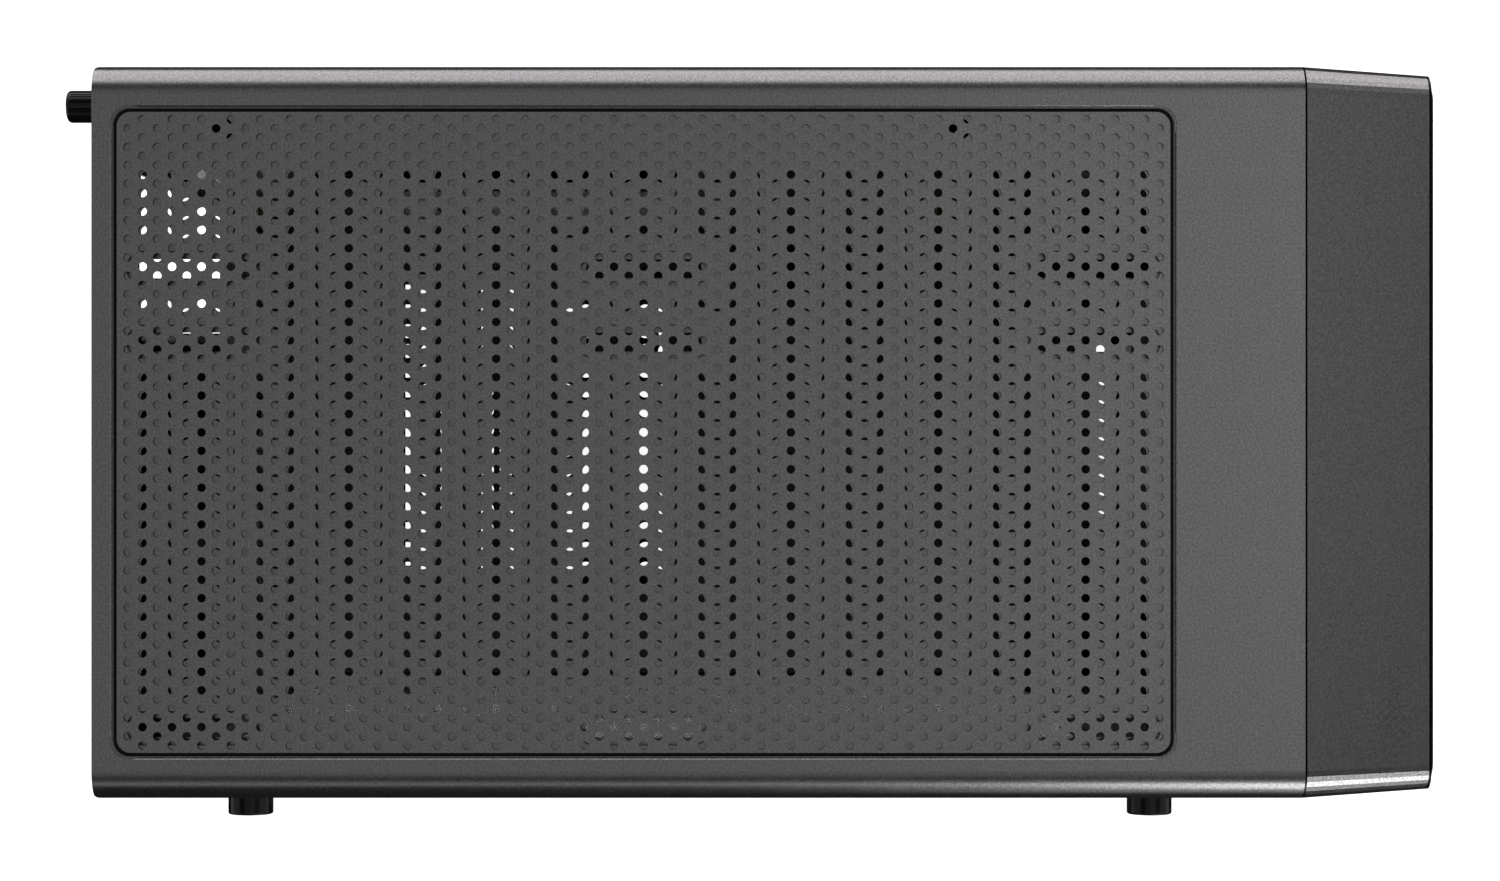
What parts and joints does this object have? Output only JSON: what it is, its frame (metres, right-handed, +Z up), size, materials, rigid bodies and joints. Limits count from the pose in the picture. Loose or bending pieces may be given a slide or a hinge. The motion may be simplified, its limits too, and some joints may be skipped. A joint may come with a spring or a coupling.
{
  "type": "mid-tower computer case",
  "caption": "Mid-tower computer case with a perforated lift-off top filter, glass side on thumbscrews, sliding steel side and pull-off front.",
  "frame": {"origin": "on the floor, under the middle of the whole outline with its screw heads", "axes": "+Z up, +Y towards the rear with the ports, +X towards the steel side that covers the motherboard tray"},
  "size_m": [0.2064, 0.3783, 0.48],
  "materials": {
    "gray_paint": "satin, fine texture",
    "black_paint": "satin powder coat",
    "gray_shell": "satin, fine texture",
    "black_plastic": "fine moulded",
    "gloss_black": "gloss",
    "rubber": "matt",
    "tinted_glass": "polished",
    "bright_steel": "plated",
    "brass": "satin",
    "board_green": "solder mask",
    "clear_lens": "frosted"
  },
  "bodies": {
    "chassis": {"base_pan": "black_paint", "rear_panel": "black_paint", "motherboard_tray": "black_paint", "front_frame": "black_paint", "top_panel": "gray_paint", "top_cover": "gray_paint", "psu_shroud": "black_paint", "drive_cage": "black_paint", "ssd_plate_rear": "black_paint", "ssd_plate_front": "black_paint", "standoffs": "brass", "psu_pads": "rubber", "slot_ledge": "black_paint", "slot_screws": "bright_steel", "fan_frame": "black_plastic", "fan_screws": "gloss_black", "slot_cover_1": "black_paint", "slot_cover_2": "black_paint", "slot_cover_3": "black_paint", "slot_cover_4": "black_paint", "slot_cover_5": "black_paint", "slot_cover_6": "black_paint", "slot_cover_7": "black_paint", "cable_grommet_1": "rubber", "cable_grommet_2": "rubber", "cable_grommet_3": "rubber", "foot_1": "black_plastic", "foot_2": "black_plastic", "foot_3": "black_plastic", "foot_4": "black_plastic", "foot_pad_1": "rubber", "foot_pad_2": "rubber", "foot_pad_3": "rubber", "foot_pad_4": "rubber"},
    "dust_filter_unit": {"dust_filter": "gray_paint", "filter_magnet": "rubber"},
    "glass_side": {"glass_panel": "tinted_glass", "glass_bushes": "rubber"},
    "steel_side": {"side_panel": "gray_paint"},
    "front_panel": {"front_shell": "gray_shell", "front_carrier": "black_plastic", "front_mesh": "black_paint", "io_board": "board_green", "usb_port_1": "bright_steel", "usb_port_2": "bright_steel", "usb_c_port": "bright_steel", "audio_jack": "black_plastic", "status_lens": "clear_lens", "button_switches": "black_plastic"},
    "rotor": {"fan_rotor": "black_plastic"},
    "power_key": {"power_button": "gloss_black"},
    "reset_key": {"reset_button": "gloss_black"},
    "glass_knob_1": {"glass_screw_1": "gloss_black"},
    "glass_knob_2": {"glass_screw_2": "gloss_black"},
    "glass_knob_3": {"glass_screw_3": "gloss_black"},
    "glass_knob_4": {"glass_screw_4": "gloss_black"},
    "rear_knob_1": {"side_screw_1": "gloss_black"},
    "rear_knob_2": {"side_screw_2": "gloss_black"}
  },
  "joints": [
    {"name": "filter_lift", "type": "slide", "parent": "chassis", "child": "dust_filter_unit", "axis": [0, 0, 1], "range_m": [0, 0.08]},
    {"name": "glass_off", "type": "slide", "parent": "chassis", "child": "glass_side", "axis": [-1, 0, 0], "range_m": [0, 0.08]},
    {"name": "side_panel_slide", "type": "slide", "parent": "chassis", "child": "steel_side", "axis": [0, 1, 0], "range_m": [0, 0.015]},
    {"name": "front_pull", "type": "slide", "parent": "chassis", "child": "front_panel", "axis": [0, -1, 0], "range_m": [0, 0.06]},
    {"name": "fan_spin", "type": "hinge", "parent": "chassis", "child": "rotor", "pos_m": [-0.02785, 0.16375, 0.35795], "axis": [0, 1, 0], "continuous": true},
    {"name": "power_press", "type": "slide", "parent": "front_panel", "child": "power_key", "axis": [0, 1, 0], "range_m": [0, 0.0012], "stiffness_N_per_m": 500},
    {"name": "reset_press", "type": "slide", "parent": "front_panel", "child": "reset_key", "axis": [0, 1, 0], "range_m": [0, 0.0012], "stiffness_N_per_m": 400},
    {"name": "glass_knob_turn_1", "type": "hinge", "parent": "glass_side", "child": "glass_knob_1", "pos_m": [-0.09685, 0.13805, 0.0295], "axis": [-1, 0, 0], "continuous": true},
    {"name": "glass_knob_turn_2", "type": "hinge", "parent": "glass_side", "child": "glass_knob_2", "pos_m": [-0.09685, -0.11265, 0.0295], "axis": [-1, 0, 0], "continuous": true},
    {"name": "glass_knob_turn_3", "type": "hinge", "parent": "glass_side", "child": "glass_knob_3", "pos_m": [-0.09685, 0.13805, 0.453], "axis": [-1, 0, 0], "continuous": true},
    {"name": "glass_knob_turn_4", "type": "hinge", "parent": "glass_side", "child": "glass_knob_4", "pos_m": [-0.09685, -0.11265, 0.453], "axis": [-1, 0, 0], "continuous": true},
    {"name": "rear_knob_turn_1", "type": "hinge", "parent": "steel_side", "child": "rear_knob_1", "pos_m": [0.09395, 0.17755, 0.454], "axis": [0, 1, 0], "continuous": true},
    {"name": "rear_knob_turn_2", "type": "hinge", "parent": "steel_side", "child": "rear_knob_2", "pos_m": [0.09395, 0.17755, 0.0285], "axis": [0, 1, 0], "continuous": true}
  ]
}
